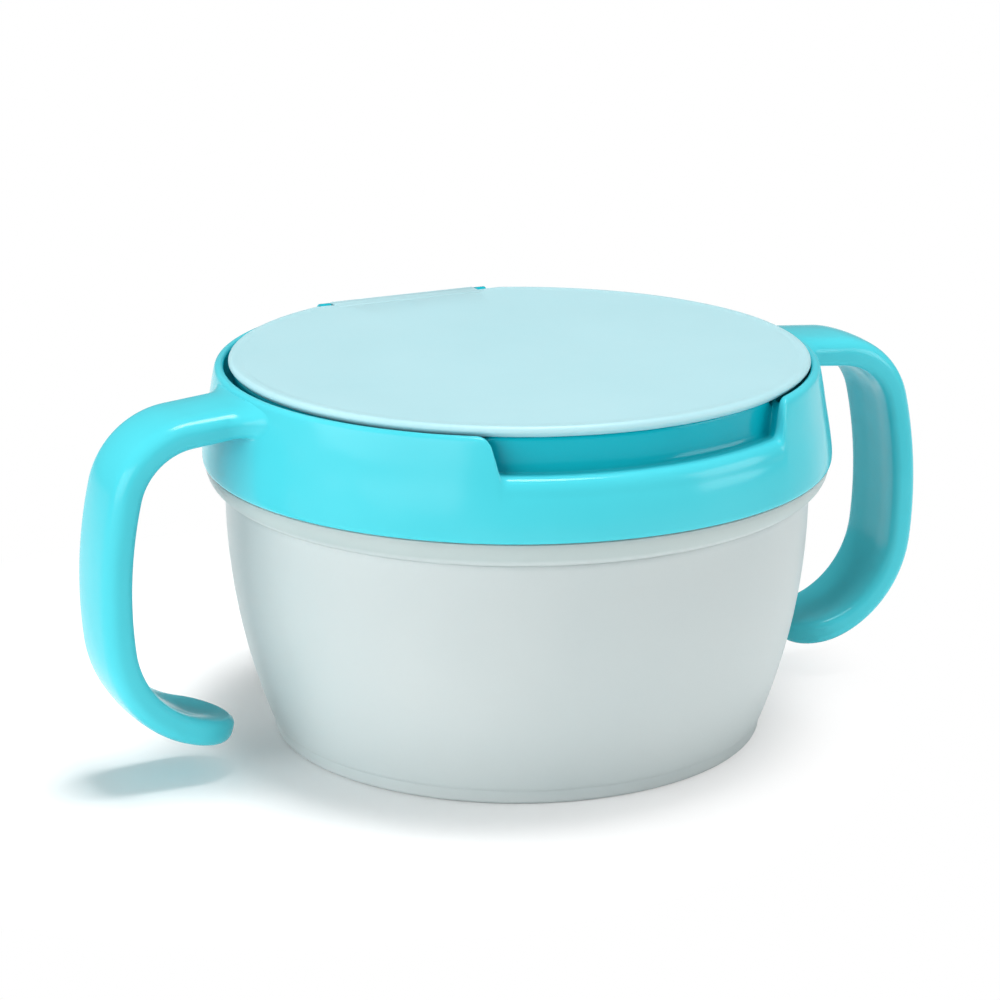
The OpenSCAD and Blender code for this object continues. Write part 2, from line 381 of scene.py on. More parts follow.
class Graph:
    """The nodes of a material or of the world, emptied and then built anew."""

    def __init__(self, owner: bpy.types.Material | bpy.types.World) -> None:
        """Empties the owner's nodes.

        Args:
            owner: the material or the world.
        """
        owner.use_nodes = True
        self.tree = owner.node_tree
        self.tree.nodes.clear()

    def add(
        self, kind: str, values: dict[str | int, object] | None = None, **settings: object
    ) -> Node:
        """Adds a shader node.

        Args:
            kind: its type, without the "ShaderNode" in front.
            values: what its inputs hold, by name or number.
            **settings: its own settings, such as its operation.

        Returns:
            The new node.
        """
        node = self.tree.nodes.new("ShaderNode" + kind)
        for key, value in settings.items():
            setattr(node, key, value)
        for key, value in (values or {}).items():
            node.inputs[key].default_value = value
        return node

    def wire(self, *links: tuple[Node, str, Node, str | int]) -> None:
        """Links an output of one node to an input of another, for each link."""
        for source, out, target, into in links:
            self.tree.links.new(source.outputs[out], target.inputs[into])


class Lustre(Enum):
    """How a moulded plastic throws light back."""

    GLOSSY = 0.17
    SATIN = 0.33
    FROSTED = 0.42
    SOFT = 0.5


@dataclass(frozen=True)
class Plastic:
    """A moulded plastic: colour, depth, and how true its skin is.

    Sizes of marks are millimetres, and glow_scale is metres. Inside a radius and
    above a height, given as a (radius, height) pair, shade is painted: the colour
    is multiplied by a darker tint there.
    """

    name: str
    colour: Point
    deep: Point
    lustre: Lustre
    ripple: float
    ripple_size: float
    shine: float
    glow: float = 0.0
    glow_reach: Point = (1.0, 1.0, 1.0)
    glow_scale: float = 0.005
    clear: float = 0.0
    sheen: float = 0.0
    ior: float = 1.49
    painted_shade_zone: Pair | None = None
    painted_shade_blur: Pair = (0.25, 0.8)
    painted_shade_tint: Point = (1.0, 1.0, 1.0)
    flow_size: float = 34
    flow_stops: Pair = (0.3, 0.7)
    wear_size: float = 9
    wear: Pair = (0.85, 1.2)
    grain_size: float = 0.7
    grain: float = 0.004
    bumps: Pair = (0.6, 0.25)

    def paint_shade(self, graph: Graph, place: Node, tint: Node) -> Node:
        """Paints shade into the colour above a height and nearer the axis than a radius,
        where the real part lies in the shade of what is over it.

        Args:
            graph: the material's nodes.
            place: the piece's own coordinates.
            tint: the colour so far.

        Returns:
            The node whose "Result" output is the colour with the painted shade.
        """
        radius, height = self.painted_shade_zone
        beside, over = self.painted_shade_blur
        flat = graph.add("VectorMath", {1: (1, 1, 0)}, operation="MULTIPLY")
        out = graph.add("VectorMath", operation="LENGTH")
        edge = {"From Min": (radius + beside) * MM, "From Max": (radius - beside) * MM}
        inner = graph.add("MapRange", edge)
        axes = graph.add("SeparateXYZ")
        edge = {"From Min": height * MM, "From Max": (height + over) * MM}
        above = graph.add("MapRange", edge)
        both = graph.add("Math", operation="MULTIPLY")
        shade_values = {"B": (*self.painted_shade_tint, 1)}
        dark = graph.add("Mix", shade_values, data_type="RGBA", blend_type="MULTIPLY")
        graph.wire(
            (place, "Object", flat, 0),
            (flat, "Vector", out, 0),
            (out, "Value", inner, "Value"),
            (place, "Object", axes, "Vector"),
            (axes, "Z", above, "Value"),
            (inner, "Result", both, 0),
            (above, "Result", both, 1),
            (both, "Value", dark, "Factor"),
            (tint, "Color", dark, "A"),
        )
        return dark

    def made(self) -> bpy.types.Material:
        """Builds the node material.

        Returns:
            The material, ready to be put on a piece.
        """
        material = bpy.data.materials.new(self.name)
        graph = Graph(material)
        out = graph.add("OutputMaterial")
        skin = graph.add(
            "BsdfPrincipled",
            {
                "Subsurface Weight": self.glow,
                "Subsurface Radius": self.glow_reach,
                "Subsurface Scale": self.glow_scale,
                "Transmission Weight": self.clear,
                "IOR": self.ior,
                "Specular IOR Level": self.shine,
                "Sheen Weight": self.sheen,
            },
        )
        place = graph.add("TexCoord")
        graph.wire((skin, "BSDF", out, "Surface"))

        def noise(size: float, detail: float) -> Node:
            """Lays a noise over the piece.

            Args:
                size: about how wide its features are, in millimetres.
                detail: how many finer layers it has.

            Returns:
                The noise's node.
            """
            node = graph.add("TexNoise", {"Scale": 1 / (size * MM), "Detail": detail})
            graph.wire((place, "Object", node, "Vector"))
            return node

        # slow flow marks in the colour
        flow = noise(self.flow_size, 2)
        tint = graph.add("ValToRGB")
        for stop, where, colour in zip(
            tint.color_ramp.elements, self.flow_stops, (self.deep, self.colour)
        ):
            stop.position = where
            stop.color = (*colour, 1)
        graph.wire((flow, "Fac", tint, "Fac"))
        # painted shade: where a zone is given, the colour there is darkened to stand in for shade
        if self.painted_shade_zone:
            graph.wire((self.paint_shade(graph, place, tint), "Result", skin, "Base Color"))
        else:
            graph.wire((tint, "Color", skin, "Base Color"))

        # polish that is not quite even
        wear = noise(self.wear_size, 4)
        least, most = (self.lustre.value * share for share in self.wear)
        polish = graph.add("MapRange", {"To Min": least, "To Max": most})

        # gentle waves where the wall has shrunk, under a very fine grain
        waves = noise(self.ripple_size, 1)
        grain = noise(self.grain_size, 2)
        wavy, grainy = self.bumps
        wave_bump = graph.add("Bump", {"Strength": wavy, "Distance": self.ripple * MM})
        grain_bump = graph.add("Bump", {"Strength": grainy, "Distance": self.grain * MM})
        graph.wire(
            (wear, "Fac", polish, "Value"),
            (polish, "Result", skin, "Roughness"),
            (waves, "Fac", wave_bump, "Height"),
            (grain, "Fac", grain_bump, "Height"),
            (wave_bump, "Normal", grain_bump, "Normal"),
            (grain_bump, "Normal", skin, "Normal"),
        )
        return material


COLLAR_PLASTIC = Plastic(
    name="aqua_gloss_plastic",
    colour=(0.078, 0.60, 0.69),
    deep=(0.058, 0.56, 0.65),
    lustre=Lustre.GLOSSY,
    ripple=0.4,
    ripple_size=13,
    shine=0.19,
    # painted shade: darker in the channel and on the notch's inner wall, under the lid
    painted_shade_zone=(55.9, 64.4),
    painted_shade_tint=(0.02, 0.7, 0.74),
)
LID_PLASTIC = Plastic(
    name="pale_aqua_satin_plastic",
    colour=(0.425, 0.675, 0.725),
    deep=(0.405, 0.66, 0.71),
    lustre=Lustre.SATIN,
    glow=0.15,
    glow_reach=(0.7, 1.0, 1.0),
    glow_scale=0.002,
    ripple=0.1,
    ripple_size=16,
    shine=0.25,
)
BOWL_PLASTIC = Plastic(
    name="frosted_clear_plastic",
    colour=(0.635, 0.71, 0.71),
    deep=(0.605, 0.69, 0.695),
    lustre=Lustre.FROSTED,
    glow=0.45,
    glow_scale=0.006,
    clear=0.14,
    ripple=0.12,
    ripple_size=20,
    shine=0.3,
    # painted shade: darker above 49.3 mm, on the flange and neck under the collar's skirt
    painted_shade_zone=(99.0, 49.3),
    painted_shade_tint=(0.8, 0.84, 0.83),
)
FLAP_RUBBER = Plastic(
    name="soft_aqua_rubber",
    colour=(0.05, 0.50, 0.60),
    deep=(0.04, 0.46, 0.56),
    lustre=Lustre.SOFT,
    glow=0.15,
    glow_reach=(0.4, 1.0, 1.0),
    glow_scale=0.002,
    ripple=0.05,
    ripple_size=8,
    shine=0.3,
    sheen=0.15,
)


def dress(
    piece: Piece,
    material: bpy.types.Material,
    body: str,
    slot: str,
    *nodes: str,
) -> None:
    """Gives a finished piece its material and its place in the frame.

    Args:
        piece: the finished piece.
        material: its material.
        body: the CAD body that it rides on.
        slot: not used.
        *nodes: the CAD nodes that it stands for.
    """
    piece.data.materials.clear()
    piece.data.materials.append(material)
    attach(piece, body)
    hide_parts(*nodes)
    LOG.info("%s: %d faces, on %s", piece.name, len(piece.data.polygons), body)


# ---------------------------------------------------------------------- bowl


@dataclass
class Bowl:
    """The frosted bowl: a lathed wall with a foot ring, a flange and a neck."""

    belly_r: float = 55.8
    belly_z: float = 46.0
    sweep_r: float = 120.0
    wall: float = 1.6
    foot_h: float = 2.8
    foot_step: float = 0.5
    foot_w: float = 1.8
    hollow: float = 1.4
    floor_z: float = 3.2
    corner_r: float = 7.0
    flange_r: float = 59.5
    flange_round: float = 5.2
    flange_z: float = 53.32
    neck_z: float = 63.0
    bead: float = 0.6
    foot_round: float = 0.8
    outer_heights: tuple[float, ...] = (3.8, 6, 9, 12, 16, 20, 24, 28, 32, 36, 40, 43, 45.5, 47.2)
    wall_top: float = 47.9
    inner_heights: tuple[float, ...] = (43, 40, 36, 32, 28, 24, 20, 16, 12)
    steps: int = 160
    shading: float = 40

    def wall_at(self, z: float) -> float:
        """Outside radius of the wall at a height."""
        return (
            self.belly_r
            - self.sweep_r
            + math.sqrt(self.sweep_r**2 - (self.belly_z - z) ** 2)
        )

    def profile(self) -> list[Pair]:
        """The closed section, from the middle of the underside outwards.

        Returns:
            (radius, height) pairs in millimetres.
        """
        wall_foot = self.wall_at(self.foot_h)
        foot_r = wall_foot - self.foot_step
        inner = self.sweep_r - self.wall
        centre = self.belly_r - self.sweep_r
        corner_z = self.floor_z + self.corner_r
        corner_x = centre + math.sqrt(
            (inner - self.corner_r) ** 2 - (self.belly_z - corner_z) ** 2
        )
        lean = math.degrees(math.atan2(corner_z - self.belly_z, corner_x - centre))
        neck_in = self.belly_r - self.wall
        bead_z = (self.neck_z + self.flange_z) / 2
        ring_z = self.flange_z - math.sqrt(
            self.flange_round**2
            - (self.belly_r - 0.1 - self.flange_r + self.flange_round) ** 2
        )
        belly_r, flange_r, flange_z = self.belly_r, self.flange_r, self.flange_z
        hollow, foot_h, neck_z = self.hollow, self.foot_h, self.neck_z
        # underside and foot ring
        points: list[Pair] = [(0, hollow), (20, hollow)]
        points += [(foot_r - self.foot_w - 0.5, hollow)]
        points += [(foot_r - self.foot_w, hollow - 0.4)]
        points += [(foot_r - self.foot_w + 0.1, 0.3), (foot_r - self.foot_w + 0.4, 0)]
        points += arc(foot_r - self.foot_round, self.foot_round, self.foot_round, -90, 0, 5)
        points += [(foot_r + 0.02, foot_h - 0.5), (foot_r + 0.1, foot_h - 0.15)]
        points += [(wall_foot - 0.12, foot_h + 0.05), (wall_foot + 0.03, foot_h + 0.3)]
        # wall
        points += [(self.wall_at(z), z) for z in self.outer_heights]
        # flange, rounded below
        points += [(self.wall_at(self.wall_top), self.wall_top)]
        points += [(belly_r - 0.22, ring_z - 0.12)]
        across = flange_r - self.flange_round
        start = -math.degrees(math.acos((belly_r + 0.05 - across) / self.flange_round))
        points += arc(across, flange_z, self.flange_round, start, -6, 12)
        points += [(flange_r - 0.12, flange_z - 0.12)]
        points += [(flange_r - 0.6, flange_z), (belly_r + 0.5, flange_z)]
        points += [(belly_r + 0.1, flange_z + 0.12), (belly_r, 53.9)]
        # neck with its bead and round top
        points += arc(belly_r, bead_z, self.bead, -80, 80, 8)
        points += [(belly_r, neck_z - 1.0)]
        mid = belly_r - self.wall / 2
        points += arc(mid, neck_z - 0.75, 0.78, 5, 175, 10)
        # down the inside to the floor
        points += [(neck_in, neck_z - 1.2), (neck_in, 55), (neck_in, self.belly_z)]
        points += [
            (centre + math.sqrt(inner**2 - (self.belly_z - z) ** 2), z)
            for z in self.inner_heights
        ]
        points += arc(corner_x, corner_z, self.corner_r, lean, -90, 10)
        points += [(25, self.floor_z), (12, self.floor_z), (0, self.floor_z)]
        return points

    def build(self) -> None:
        """Turns the bowl in one piece."""
        bowl = strand("frosted_bowl", self.profile(), closed=False)
        turn(bowl, self.steps)
        smooth(bowl, self.shading)
        dress(bowl, BOWL_PLASTIC.made(), "bowl", "bowl_plastic", "bowl")


# -------------------------------------------------------------------- collar


@dataclass(frozen=True)
class Stop:
    """A control point of the collar's section, and where it goes at the finger
    notch, at the ribs beside the notch and at the low bay behind the hinge."""

    plain: Pair
    notch: Pair | None = None
    rib: Pair | None = None
    bay: Pair | None = None


# From the outside of the skirt up the wall, over the rim, along the channel,
# over the inner wall, under the deck and back down the skirt's inside.
STOPS: tuple[Stop, ...] = (
    Stop((60.02, 56.6)),
    Stop((59.42, 60.4)),
    Stop((58.92, 63.0), (59.02, 61.6)),
    Stop((58.62, 64.8), (58.86, 62.7)),
    Stop((58.30, 66.9), (58.5, 63.75)),
    Stop((57.92, 69.0), (57.9, 64.5), None, (58.12, 67.6)),
    Stop((57.55, 70.9), (57.2, 64.84), None, (58.02, 68.72)),
    Stop((57.27, 71.8), (56.8, 64.9), None, (57.5, 68.88)),
    Stop((56.42, 72.1), (56.55, 64.9), None, (56.6, 68.87)),
    Stop((55.62, 71.8), (56.15, 64.9), None, (55.75, 68.84)),
    Stop((55.58, 71.0), (55.8, 64.9), (55.5, 71.22), (55.62, 68.3)),
    Stop((55.6, 68.4), (55.5, 64.9), (55.3, 71.2), (55.6, 67.4)),
    Stop((55.6, 65.6), (55.25, 64.9), (55.1, 71.2)),
    Stop((55.42, 64.95), (55.0, 64.92), (54.9, 71.2)),
    Stop((54.85, 64.88), (54.7, 65.02), (54.7, 71.2)),
    Stop((54.2, 64.92), (54.35, 65.4), (54.5, 71.2)),
    Stop((54.0, 65.5), (54.08, 66.4), (54.3, 71.22)),
    Stop((54.0, 68.2), (54.0, 68.6), (54.15, 71.24), (54.0, 67.4)),
    Stop((54.0, 70.3), None, (53.98, 71.28), (54.0, 68.3)),
    Stop((53.98, 71.36), None, None, (53.96, 68.9)),
    Stop((52.42, 71.36), None, None, (52.44, 68.9)),
    Stop((52.4, 70.3), None, None, (52.4, 68.1)),
    Stop((52.4, 67.0)),
    Stop((52.4, 63.8)),
    Stop((52.55, 63.3)),
    Stop((53.6, 63.3)),
    Stop((56.0, 63.3)),
    Stop((56.9, 63.15)),
    Stop((57.15, 62.2)),
    Stop((57.9, 57.6)),
    Stop((58.05, 56.6)),
    Stop((57.8, 56.3)),
    Stop((56.85, 56.3)),
    Stop((56.7, 56.05)),
    Stop((56.7, 55.15)),
    Stop((56.9, 54.9)),
    Stop((58.0, 54.88)),
    Stop((58.2, 54.5)),
    Stop((58.25, 53.6)),
    Stop((58.6, 53.4)),
    Stop((59.5, 53.38)),
    Stop((60.08, 53.75)),
    Stop((60.14, 54.9)),
)


@dataclass
class Handle:
    """A hooked handle: a flat bar, crowned outside and dished inside, that widens
    into the collar's wall, turns down over a shoulder, runs along a long grip
    and curls in at its tip."""

    wall: BVHTree
    width: float = 17.4
    thick: float = 5.8
    crown: float = 0.28
    crown_half: float = 5.3
    side_top: float = -0.3
    side_lead: Pair = (2.0, -0.21)
    side_tail: float = 1.75
    edge: float = 1.45
    dish_half: float = 6.9
    dish_flat: float = 1.5
    dish: float = 0.42
    root_x: float = 57.2
    root_z: float = 68.3
    slope: float = 5.2
    arm: float = 11.55
    bends: tuple[tuple[float, float, int], ...] = (
        (14.5, 71.0, 26),
        (84.0, 20.0, 16),
        (20.5, 68.0, 26),
    )
    side_flare: Pair = (7.5, 6.5)
    low_side: float = 0.42
    top_flare: Pair = (0.6, 2.6)
    under_flare: Pair = (0.8, 1.6)
    flare_ease: float = 1.6
    flare_steps: int = 16
    inside_shares: tuple[float, ...] = (1, 1, 0.7, 0.35, 0.0)
    inside_drop: float = 2.0
    top_limit: float = 71.3
    bite: float = 0.5
    sink: float = 0.03
    outside: float = 80.0
    crown_steps: int = 5
    side_steps: int = 9
    dish_steps: int = 6
    tip_steps: int = 14
    shading: float = 60

    def half_section(self) -> list[Pair]:
        """Half of the bar's section, from the crown's middle round to the dish's.

        Returns:
            (out along the width, out along the thickness) pairs in millimetres.
        """
        half_w, half_t = self.width / 2, self.thick / 2
        points = []
        for i in range(self.crown_steps):
            u = self.crown_half * i / self.crown_steps
            points.append((u, half_t - self.crown * (u / self.crown_half) ** 2))
        # a wide round corner, as a cubic curve that leaves the crown smoothly
        start = Vector((self.crown_half, half_t - self.crown))
        end = Vector((half_w, self.side_top))
        lead = start + Vector(self.side_lead)
        tail = end + Vector((0, self.side_tail))
        for i in range(self.side_steps + 1):
            t = i / self.side_steps
            here = (
                start * (1 - t) ** 3
                + lead * 3 * t * (1 - t) ** 2
                + tail * 3 * t * t * (1 - t)
                + end * t**3
            )
            points.append((here.x, here.y))
        points += arc(half_w - self.edge, self.edge - half_t, self.edge, 0, -90, 6)
        for i in range(self.dish_steps + 1):
            t = i / self.dish_steps
            u = self.dish_half + (self.dish_flat - self.dish_half) * t
            points.append((u, self.dish * (1 - math.cos(math.pi * t)) / 2 - half_t))
        return points

    def section(self) -> Piece:
        """Draws the bar's section in the plane x = 0, with its outer face up.

        Returns:
            A closed ring of edges.
        """
        half = self.half_section()
        low = (0.0, self.dish - self.thick / 2)
        ring = half + [low] + [(-u, v) for u, v in reversed(half[1:])]
        bar = strand("right_handle", ring)
        bar.rotation_euler = (0, 0, deg(90))
        only(bar)
        fix_place()
        return bar

    def wall_x(self, y: float, z: float) -> float:
        """Finds the collar's outside, as the right handle meets it.

        Args:
            y: how far beside the middle, in millimetres.
            z: at what height.

        Returns:
            Its x in millimetres.
        """
        start = Vector(metres(self.outside, y, min(z, self.top_limit)))
        place = self.wall.ray_cast(start, Vector((-1, 0, 0)))[0]
        return place.x / MM if place else self.root_x

    def flared(self, p: Vector) -> Vector:
        """Puts a point of the root's straight rings on the flare.

        The rings stand at x = -1, -2, ... in front of the root; each one keeps
        the bar's section in y and z.

        Args:
            p: the point, in millimetres, with z measured from the bar's middle.

        Returns:
            Its place on the flare, or inside the wall for the rings past it.
        """
        ring = round(-p.x)
        half = self.thick / 2
        reach = self.width / 2 - half
        dy = p.y - math.copysign(min(abs(p.y), reach), p.y)
        facing = Vector((dy, p.z if abs(dy) > ON_PLANE else math.copysign(half, p.z)))
        facing.normalize()
        up = self.top_flare if p.z > 0 else self.under_flare
        deep = facing.x**2 * self.side_flare[1] + facing.y**2 * up[1]
        past = max(ring - self.flare_steps, 0)
        along = min(ring, self.flare_steps) / self.flare_steps
        angle = deg(90) * (1 - (1 - along) ** self.flare_ease)
        grow = 1 - math.cos(angle)
        # the upper edge runs out along the wall further than the lower one
        level = min(max((p.z + half) / self.thick, 0), 1)
        out = self.side_flare[0] * (self.low_side + (1 - self.low_side) * level)
        y = p.y + facing.x * out * grow
        z = self.root_z + p.z + facing.y * up[0] * grow
        shrink = self.inside_shares[past]
        middle = self.root_z - self.inside_drop
        y, z = y * shrink, middle + (z - middle) * shrink
        gap = (deep + self.sink) * (1 - math.sin(angle)) - self.sink
        slope = math.tan(deg(self.slope)) * max(gap, 0)
        if past:
            gap = -self.bite
        z = min(z, self.top_limit)
        return Vector((self.wall_x(y, z) + gap, y, z - slope))

    def build(self) -> Piece:
        """Sweeps the right handle in one piece.

        Returns:
            The handle, closed at its tip and inside the collar's wall.
        """
        bar = self.section()
        # root: plain rings, numbered by their distance, that then take the flare
        with editing(bar):
            pick_all()
            for _ in range(self.flare_steps + len(self.inside_shares) - 1):
                extrude((-1, 0, 0))
        root = {v.index: v.co.copy() / MM for v in bar.data.vertices if v.co.x < -0.5 * MM}
        start = (
            self.root_x + self.arm * math.cos(deg(self.slope)),
            self.root_z - self.arm * math.sin(deg(self.slope)),
        )
        bar.rotation_euler = (0, deg(self.slope), 0)
        bar.location = metres(start[0], 0, start[1])
        only(bar)
        fix_place()
        for index, place in root.items():
            bar.data.vertices[index].co = self.flared(place) * MM
        # shoulder, grip and curl: each is a spin that goes on from the last
        x, z, heading = start[0], start[1], -self.slope
        with editing(bar):
            a, s = Vector((start[0], start[1])), deg(self.slope)
            pick(
                bar,
                lambda p: abs((p.x - a.x) * math.cos(s) - (p.z - a.y) * math.sin(s))
                < ON_PLANE,
            )
            for radius, angle, steps in self.bends:
                h = deg(heading)
                cx, cz = x + radius * math.sin(h), z - radius * math.cos(h)
                # this operator's positive turn about +Y carries +X up
                bpy.ops.mesh.spin(
                    steps=steps,
                    angle=-deg(angle),
                    center=metres(cx, 0, cz),
                    axis=(0, 1, 0),
                )
                heading -= angle
                h = deg(heading)
                x, z = cx - radius * math.sin(h), cz + radius * math.cos(h)
            self.round_tip(x, z, heading)
            tidy()
        smooth(bar, self.shading)
        return bar

    def round_tip(self, x: float, z: float, heading: float) -> None:
        """Closes the end ring with a round tip, in edit mode.

        Each half of the ring is spun a quarter turn round the bar's middle, so
        that the two halves meet.

        Args:
            x, z: the middle of the end ring.
            heading: the way it faces, in degrees above +X.
        """
        h = deg(heading)
        for side in (1, -1):
            pick(
                bpy.context.edit_object,
                lambda p, s=side: abs((p.x - x) * math.cos(h) + (p.z - z) * math.sin(h))
                < ON_PLANE
                and math.hypot(p.x - x, p.z - z) < self.thick
                and s * p.y > -0.001,
            )
            bpy.ops.mesh.spin(
                steps=self.tip_steps,
                angle=side * deg(90),
                center=metres(x, 0, z),
                axis=(-math.sin(h), 0, math.cos(h)),
            )


@dataclass
class Collar:
    """The clip-fit collar: a lathed cage with a finger notch and a hinge bay,
    smoothed, with its two handles and the two ears that hold the lid's pins."""

    notch_foot: float = 29.3
    notch_top: float = 30.0
    rib_turn: float = 1.6
    bay_turn: float = 20.5
    swell: float = 0.9995
    ear_x: Pair = (16.15, 18.4)
    ear_r: float = 1.85
    ear_merge: float = 0.0005
    ear_round: float = 0.35
    ear_sides: int = 48
    deck: float = 63.6
    rim_low: float = 70.5
    corner_drop: float = 1.9
    corner_rise: float = 1.6
    side_r: float = 58.0
    turn_in: Pair = (12.0, 24.0)
    turn_out: Pair = (43.0, 32.0)
    beside: float = 0.2
    past_foot: float = 0.3
    seam_merge: float = 0.01
    shading: float = 75

    def columns(self) -> list[float]:
        """Angles of the cage's sections from the notch's middle to the hinge's.

        Returns:
            Degrees from -Y, for one half of the ring.
        """
        foot, top, rib = self.notch_foot, self.notch_top, self.rib_turn
        bay = 180 - self.bay_turn
        half = [0, 5, 10, 15, 20, 24, 27.4, foot, top, top + 0.5 * rib]
        half += [top + rib, top + 2 * rib, top + 3.6 * rib, 39]
        half += [43 + 5 * i for i in range(23)]
        half += [156.6, bay - 0.5, bay + 0.5, 163, 168, 174, 180]
        return half

    def cage(self) -> Piece:
        """Spins the plain section right round, section by section.

        Returns:
            The cage, not yet smoothed, with its seam closed.
        """
        ring = strand("collar_ring", [stop.plain for stop in STOPS])
        half = self.columns()
        turns = [b - a for a, b in zip(half, half[1:])]
        with editing(ring):
            pick_all()
            # the section is drawn at +X; its first place is the notch's middle
            for step in turns + turns[::-1]:
                bpy.ops.mesh.spin(
                    steps=1, angle=deg(step), center=(0, 0, 0), axis=(0, 0, 1)
                )
            tidy(self.seam_merge)
        ring.rotation_euler = (0, 0, deg(-90))
        only(ring)
        fix_place()
        return ring

    def carve(self, ring: Piece) -> None:
        """Moves the cage's points to their places at notch, ribs and bay.

        Args:
            ring: the plain cage.
        """
        foot, top, rib = self.notch_foot, self.notch_top, self.rib_turn

        def carved(p: Vector) -> Vector:
            """Finds where one point of the cage goes.

            Args:
                p: its place on the plain cage, in millimetres.

            Returns:
                Its new place.
            """
            r = math.hypot(p.x, p.y)
            around = abs(math.degrees(math.atan2(p.x, -p.y)))
            stop = min(
                STOPS, key=lambda s: math.hypot(r - s.plain[0], p.z - s.plain[1])
            )
            goal = None
            if around < foot + self.beside:
                goal = stop.notch
            elif around < top + rib + self.beside:
                goal = stop.rib
            elif around > 180 - self.bay_turn:
                goal = stop.bay
            reach, z = goal or stop.plain
            # round upper corners, which run out a little way round the rim
            if z > self.rim_low and around > foot + self.past_foot:
                z -= max(0.0, self.corner_drop - self.corner_rise * (around - top))
            # the notch's sides run straight in, along Y, not towards the axis
            start, full = self.turn_in
            straight = min(max((around - start) / (full - start), 0), 1)
            done, full = self.turn_out
            if around > top + rib:
                straight = min(max((done - around) / (done - full), 0), 1)
            lean = math.degrees(
                math.asin(min(self.side_r * math.sin(deg(around)) / reach, 1))
            )
            turned = around + straight * (lean - around) if around < done else around
            turned = math.copysign(deg(turned), p.x)
            return Vector((reach * math.sin(turned), -reach * math.cos(turned), z))

        settle(ring, carved)

    def ear(self) -> Piece:
        """Shapes one ear: a round head over a post that stands on the deck.

        Returns:
            The right ear.
        """
        y, z = HINGE
        ear = rod("ear", self.ear_r, *self.ear_x, y, z, self.ear_sides)
        with editing(ear):
            # the lower half is pressed flat, and then drawn down to the deck
            pick(ear, lambda p: p.z < z - ON_PLANE)
            bpy.ops.transform.resize(
                value=(1, 1, 0), center_override=metres(sum(self.ear_x) / 2, y, z)
            )
            pick(
                ear,
                lambda p: abs(p.z - z) < 0.001 and abs(p.y - y) < self.ear_r - 0.002,
            )
            bpy.ops.transform.translate(value=metres(0, 0, self.deck - z))
            tidy(self.ear_merge)
        soften(ear, self.ear_round)
        smooth(ear)
        return ear

    def build(self) -> None:
        """Builds the collar with its handles and ears as one moulding."""
        ring = self.cage()
        self.carve(ring)
        shape(ring, "SUBSURF", levels=2, render_levels=2)
        with editing(ring):
            pick_all()
            bpy.ops.transform.resize(
                value=(self.swell, self.swell, 1), center_override=(0, 0, 0)
            )
            bpy.ops.mesh.normals_make_consistent(inside=False)
        smooth(ring, self.shading)
        wall = BVHTree.FromPolygons(
            [v.co.copy() for v in ring.data.vertices],
            [tuple(f.vertices) for f in ring.data.polygons],
        )
        handle = Handle(wall)
        right = handle.build()
        left = mirrored(right, "left_handle", MERGE, handle.shading)
        ear = self.ear()
        twin = mirrored(ear, "left_ear", self.ear_merge)
        moulding = join("collar_with_handles", ring, right, left, ear, twin)
        dress(
            moulding,
            COLLAR_PLASTIC.made(),
            "collar",
            "collar_plastic",
            "collar",
            "handle_left",
            "handle_right",
        )


# ----------------------------------------------------------------------- lid


